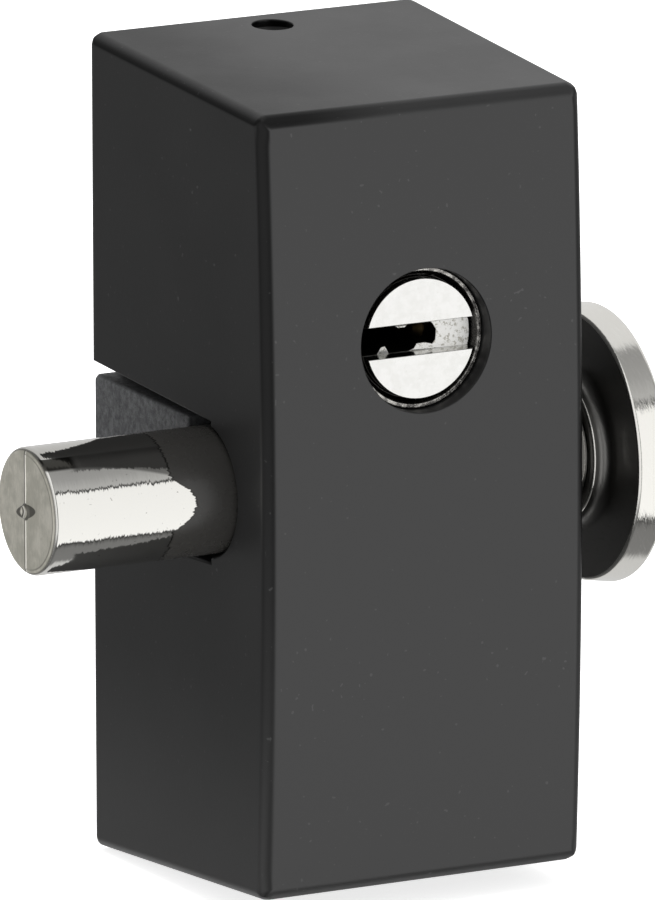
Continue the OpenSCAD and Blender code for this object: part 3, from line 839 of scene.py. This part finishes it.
def frosted_nickel():
    """The plug: light plating with small marks on its face, painted black deep in the keyway for the
    shade there.
    """
    s = Shader("frosted_nickel")
    where = s.place_mm()
    depth = s.minus(s.split(where)["Y"], PLUG_LO.y)
    cloud = s.noise(where, 1.3, 4, 0.6)
    marks = s.between(s.noise(where, 5.5, 2), 0.66, 0.74)
    face = s.blend(s.between(cloud, 0.35, 0.65), rgb(0.84, 0.835, 0.81), rgb(0.90, 0.895, 0.875))
    colour = s.blend(s.times(marks, 0.35), face, rgb(0.55, 0.53, 0.48))
    spots = s.between(s.noise(where, 3.4, 4, 0.7), 0.5, 0.62)
    dirt = s.times(s.between(depth, 0.25, 0.9), spots)
    colour = s.blend(s.times(dirt, 0.7), colour, rgb(0.28, 0.26, 0.20))
    # Painted shade: black deeper than about 1.1 mm behind the face.
    colour = s.blend(s.between(depth, 1.02, 1.12), colour, rgb(0.015, 0.014, 0.012))
    rough = s.plus(s.between(cloud, 0.3, 0.7, 0.14, 0.22), s.between(depth, 0.7, 1.0, 0, 0.3))
    normal = s.bump(s.noise(where, 8, 2), 0.003)
    return s.surface_is(Base_Color=colour, Roughness=rough, Metallic=1.0, Normal=normal)


def worn_nickel():
    """The barrel: a scuffed bright ring round a seat that is painted dark for the shade in its recess."""
    s = Shader("worn_nickel")
    where = s.place_mm()
    wear = s.noise(where, 1.6, 5, 0.7)
    scuffs = s.noise(s.stretched(where, (1, 0.3, 1)), 5.0, 4, 0.7)
    ring = s.between(s.radius(where, (0, 0, KEY_Z), (1, 0, 1)), 5.5, 5.68)
    bright = s.blend(s.between(wear, 0.38, 0.62), rgb(0.13, 0.125, 0.12), rgb(0.72, 0.70, 0.66))
    # Painted shade: the recessed seat is near black.
    shaded_seat = s.blend(scuffs, grey(0.02), rgb(0.11, 0.105, 0.10))
    rough = s.between(scuffs, 0.3, 0.7, 0.14, 0.40)
    return s.surface_is(Base_Color=s.blend(ring, shaded_seat, bright), Roughness=rough, Metallic=1.0,
                        Normal=s.bump(scuffs, 0.05))


def machined(name, dark, light, rough, grain_scale=2.0):
    """Plain turned or rolled metal between two tones."""
    s = Shader(name)
    where = s.place_mm()
    cloud = s.noise(where, 0.5, 4, 0.6)
    grain = s.noise(s.stretched(where, (1, 1, 5)), grain_scale, 3, 0.6)
    colour = s.blend(s.between(cloud, 0.3, 0.7), rgb(*dark), rgb(*light))
    roughness = s.between(grain, 0.3, 0.7, rough - 0.06, rough + 0.08)
    return s.surface_is(Base_Color=colour, Roughness=roughness, Metallic=1.0,
                        Normal=s.bump(grain, 0.004))


def nylon():
    s = Shader("nylon")
    where = s.place_mm()
    cloud = s.noise(where, 0.8)
    colour = s.blend(cloud, rgb(0.62, 0.59, 0.52), rgb(0.74, 0.71, 0.64))
    return s.surface_is(Base_Color=colour, Roughness=s.between(cloud, 0.3, 0.7, 0.5, 0.6),
                        Normal=s.bump(s.noise(where, 6, 2), 0.004))


# ---------------------------------------------------------------- assembly

FACE_DEPTH = 1.2           # how deep the plug's edges are softened behind its face
RING_DEPTH = 1.5           # and the barrel's


def dress(node, material):
    for slot in NODES[node].material_slots:
        slot.material = material


def make_pieces():
    hand_over(make_housing(), "housing_shell", "lock_case", "housing_coat", powder_coat(), "housing")
    hand_over(softened("carrier", 0.25),
              "inner_carrier", "lock_case", "raw_casting", cast_zinc(), "carrier")
    hand_over(make_bolt(), "sliding_bolt", "bolt_assembly", "bolt_nickel", polished_nickel(), "bolt")
    hand_over(make_knob(), "turned_knob", "bolt_assembly", "knob_nickel", brushed_nickel(), "knob")
    hand_over(softened("plug", 0.05, lambda p: p.y < PLUG_LO.y + FACE_DEPTH),
              "key_plug_face", "key_plug", "plug_nickel", frosted_nickel(), "plug")
    hand_over(softened("cylinder_barrel", 0.07, lambda p: p.y < PLUG_LO.y + RING_DEPTH),
              "barrel_with_ring", "lock_case", "barrel_nickel", worn_nickel(), "cylinder_barrel")
    finishes = {
        "brass": machined("turned_brass", (0.62, 0.43, 0.16), (0.78, 0.58, 0.27), 0.28),
        "dark_steel": machined("black_oxide_steel", (0.030, 0.030, 0.032), (0.055, 0.054, 0.053), 0.38),
        "plate_steel": machined("zinc_plated_steel", (0.52, 0.52, 0.50), (0.66, 0.66, 0.64), 0.34, 1.2),
        "plain_steel": machined("plain_steel", (0.46, 0.46, 0.46), (0.60, 0.60, 0.59), 0.32),
        "spring_steel": machined("spring_steel", (0.36, 0.36, 0.37), (0.52, 0.52, 0.53), 0.26),
        "nylon": nylon(),
    }
    for part in frame["record"]["subparts"]:
        if part["material_slot"] in finishes:
            dress(part["node"], finishes[part["material_slot"]])
    # Painted shade: the key pins seen in the keyway are near black brass.
    shaded_key_pins = machined("painted_shade_brass", (0.05, 0.036, 0.018), (0.12, 0.085, 0.04), 0.5)
    for i in range(1, 5):
        dress("key_pin_" + str(i), shaded_key_pins)


# ---------------------------------------------------------------- floor and light

FLOOR_HALF = 3.0           # in metres
FLOOR_DROP = 0.0002        # that it lies below the lock


def make_floor():
    z = cad_box[0].z - FLOOR_DROP
    corners = [(x * FLOOR_HALF, y * FLOOR_HALF, z) for x, y in ((-1, -1), (1, -1), (1, 1), (-1, 1))]
    floor = mesh_object("floor", corners, [[0, 1, 2, 3]])
    s = Shader("pale_floor")
    colour = s.blend(s.noise(s.place_mm(), 0.02, 2), grey(0.86), grey(0.90))
    floor.data.materials.append(s.surface_is(Base_Color=colour, Roughness=0.9,
                                             Emission_Color=grey(1), Emission_Strength=0.75))
    floor.visible_glossy = False


# The studio is drawn as two strips of brightness over an angle in degrees.
# To the right of the lock it goes round the bolt's axis: -90 is straight down, 0 the horizon in
# front, 90 straight up and 180 the horizon behind.
RIGHT_BANDS = [
    (-180, 0.64), (-100, 0.62), (-92, 0.22), (-64, 0.20), (-57, 0.12), (-55.5, 0.02), (-53.5, 0.02),
    (-52.5, 1.08), (36.5, 1.0), (37.5, 0.04), (40.5, 0.04), (42, 0.50), (62, 0.36), (88, 0.30),
    (93, 0.74), (180, 0.76),
]
# To its left it goes round the vertical: -90 is the front, 0 the left and 90 behind.
LEFT_BANDS = [
    (-180, 0.5), (-92, 0.5), (-84, 0.9), (-76, 0.9), (-74, 0.05), (-64, 0.05), (-62, 0.95), (8, 0.85),
    (24, 0.45), (36, 0.06), (48, 0.06), (56, 0.12), (100, 0.14), (180, 0.5),
]
LEFT_END, RIGHT_START = -0.30, -0.02   # between these directions along X the strips blend
LOW = (-0.75, -0.45)                   # the left strip fades out between these directions along Z


def strip(s, angle, bands):
    """Brightness over an angle in radians, from (degrees, level) pairs."""
    ramp = s.add("ValToRGB", {0: s.math("MULTIPLY_ADD", angle, 1 / (2 * pi), 0.5)})
    stops = ramp.color_ramp.elements
    stops.remove(stops[1])
    stops[0].position = 0
    stops[0].color = grey(bands[0][1])
    for degree, level in bands[1:]:
        stops.new(degree / 360 + 0.5).color = grey(level)
    return ramp.outputs["Color"]


def make_world():
    world = bpy.data.worlds.new("studio")
    world.use_nodes = True
    bpy.context.scene.world = world
    s = Nodes(world.node_tree)
    x, y, z = s.split(s.add("TexCoord").outputs["Generated"])
    right = strip(s, s.math("ARCTAN2", z, s.times(y, -1.0)), RIGHT_BANDS)
    left = strip(s, s.math("ARCTAN2", y, s.times(x, -1.0)), LEFT_BANDS)
    low = s.add("MapRange", {"Value": z, "From Min": LOW[0], "From Max": LOW[1], "To Min": 0.15})
    left = s.scaled(left, low.outputs["Result"])
    colour = s.blend(s.between(x, LEFT_END, RIGHT_START), left, right)
    background = s.add("Background", {"Color": colour})
    s.add("OutputWorld", {0: background.outputs[0]})


def make_overhead_light():
    """Large soft light straight above, which the metal doesn't mirror."""
    place_mm, aim_mm, size_mm = Vector((40, 60, 700)), Vector((0, -15, 0)), 500
    data = bpy.data.lights.new("overhead", "AREA")
    data.shape = "RECTANGLE"
    data.size = data.size_y = size_mm * MM
    data.energy = 4.0
    light = bpy.data.objects.new("overhead", data)
    bpy.context.scene.collection.objects.link(light)
    aim = (place_mm - aim_mm).to_track_quat("Z", "Y").to_matrix().to_4x4()
    light.matrix_world = Matrix.Translation(place_mm * MM) @ aim
    light.visible_glossy = False


make_camera()
make_floor()
make_world()
make_overhead_light()
make_pieces()

scene = bpy.context.scene
scene.view_settings.view_transform = "Standard"
scene.view_settings.look = "None"
